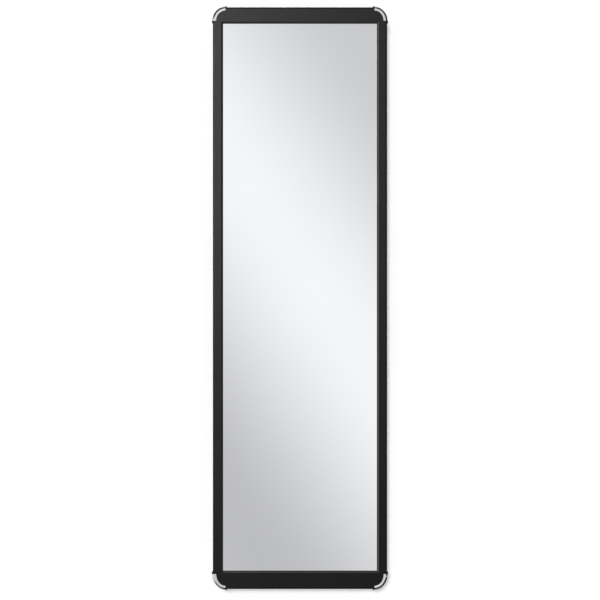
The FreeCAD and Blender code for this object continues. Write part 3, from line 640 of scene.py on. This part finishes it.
sun("key", towards=(0.12, 1.0, -0.25), strength=2.0, angle=12.0)
sun("back", towards=(-0.15, -1.0, -0.15), strength=1.9, angle=20.0)
keep_off(softbox("left_soft", where=(-1.18, -3.28, 0.91), aim=(0.0, 0.0, 0.1), size=0.9,
                 power=160.0), trims)

ambient = 0.28

# Levels of the window along the band's slant, as the direction's share that way.
band_stops = ((-0.60, 0.70), (-0.30, 0.42), (-0.15, 0.60), (-0.105, 0.55), (0.012, 0.995),
              (0.118, 0.645), (0.30, 0.42), (0.60, 0.70))
band_reach = 0.60
band_slope = 1.45

# The room round the window.  A pair is the span over which a level comes in or ends: of a
# direction's share towards the camera's side for window and front, of its share away from
# there for side, back and side lights, and of across times up for the diagonal.
window_edge = (0.66, 0.80)
front_start = (0.55, 0.67)
front_level = 0.58
dark_level = 0.02
side_start = (0.10, 0.36)
side_level = 0.45
diagonal_spread = (-0.38, -0.22)
back_start = (0.72, 0.90)
back_level = 0.55
side_lights_end = (-0.20, 0.05)

# What a mirror sees in place of that room.
mirrored_level = 0.60

# Pale patches at the sides: way across and up, span of closeness to it, level.
side_lights = (((-0.99, -0.14), (0.80, 0.92), 0.72), ((-0.69, -0.72), (0.85, 0.97), 0.26),
               ((0.0, 1.0), (0.93, 0.985), 0.17))


def slanting_band(tree, direction):
    """Brightness of the window before the glass: levels across one slanting band."""
    across = Vector((band_slope, 0.0, 1.0)).normalized()
    position = remap(tree, aimed(tree, direction, across), (-band_reach, band_reach), RISING)
    ramp = put(tree, "ShaderNodeValToRGB", {"Fac": position})
    ramp.color_ramp.interpolation = "EASE"
    marks = ramp.color_ramp.elements
    for index, (slant, level) in enumerate(band_stops):
        where = (slant + band_reach) / (2 * band_reach)
        mark = marks[index] if index < 2 else marks.new(where)
        mark.position = where
        mark.color = (level, level, level, 1.0)
    return ramp.outputs["Color"]


def room(tree, direction, depth, facing):
    """Brightness of the room round that window, which shapes the black frame and the trims."""
    flat = put(tree, "ShaderNodeVectorMath", {0: direction, 1: (1.0, 0.0, 1.0)},
               operation="MULTIPLY").outputs["Vector"]
    sideways = put(tree, "ShaderNodeVectorMath", {0: flat},
                   operation="NORMALIZE").outputs["Vector"]
    around = put(tree, "ShaderNodeSeparateXYZ", {"Vector": sideways}).outputs
    diagonal = remap(tree, maths(tree, "MULTIPLY", around["X"], around["Z"]), diagonal_spread,
                     RISING)
    level = maths(tree, "MULTIPLY", remap(tree, depth, side_start, (0.0, side_level)), diagonal)
    level = maths(tree, "MAXIMUM", level,
                  remap(tree, facing, front_start, (dark_level, front_level)))
    level = maths(tree, "MAXIMUM", level, remap(tree, depth, back_start, (0.0, back_level)))
    before = remap(tree, depth, side_lights_end, FALLING)
    for (across, up), spread, strength in side_lights:
        way = Vector((across, 0.0, up)).normalized()
        glow = remap(tree, aimed(tree, sideways, way), spread, (0.0, strength))
        level = maths(tree, "MAXIMUM", level, maths(tree, "MULTIPLY", before, glow))
    return level


def studio_world():
    """White to the camera, a plain soft surround to colour, a pale studio to shine."""
    world = bpy.data.worlds.new("studio")
    world.use_nodes = True
    world.cycles.sampling_method = "NONE"
    tree = world.node_tree
    tree.nodes.clear()
    direction = put(tree, "ShaderNodeTexCoord").outputs["Generated"]
    depth = put(tree, "ShaderNodeSeparateXYZ", {"Vector": direction}).outputs["Y"]
    facing = maths(tree, "MULTIPLY", depth, -1.0)
    rays = put(tree, "ShaderNodeLightPath").outputs
    studio = mixed(tree, rays["Is Singular Ray"], room(tree, direction, depth, facing),
                   mirrored_level)
    shine = mixed(tree, remap(tree, facing, window_edge, RISING), studio,
                  slanting_band(tree, direction))
    seen, soft, shiny = [
        put(tree, "ShaderNodeBackground", {"Color": WHITE, "Strength": strength}).outputs[0]
        for strength in (1.0, ambient, shine)]
    lighting = put(tree, "ShaderNodeMixShader",
                   {0: rays["Is Glossy Ray"], 1: soft, 2: shiny}).outputs[0]
    straight = maths(tree, "MAXIMUM", rays["Is Camera Ray"], rays["Is Transmission Ray"])
    everything = put(tree, "ShaderNodeMixShader", {0: straight, 1: lighting, 2: seen})
    put(tree, "ShaderNodeOutputWorld", {"Surface": everything.outputs[0]})
    bpy.context.scene.world = world


studio_world()


# ---------------------------------------------------------------- camera

lens_mm = 100.0
sensor_mm = 36.0
far_clip = 60.0
view_width = 1.2566
view_centre = (0.00004, -0.00390)


def photo_camera():
    """Straight-on view whose frame is view_width wide at the mirror frame's face."""
    lens = bpy.data.cameras.new("camera")
    lens.lens = lens_mm
    lens.sensor_width = sensor_mm
    lens.clip_end = far_clip
    camera = bpy.data.objects.new("camera", lens)
    distance = view_width * lens_mm / sensor_mm
    camera.location = (view_centre[0], face_y - distance, view_centre[1])
    camera.rotation_euler = (math.radians(90), 0.0, 0.0)
    bpy.context.scene.collection.objects.link(camera)
    bpy.context.scene.camera = camera


photo_camera()
bpy.context.scene.view_settings.view_transform = "Standard"
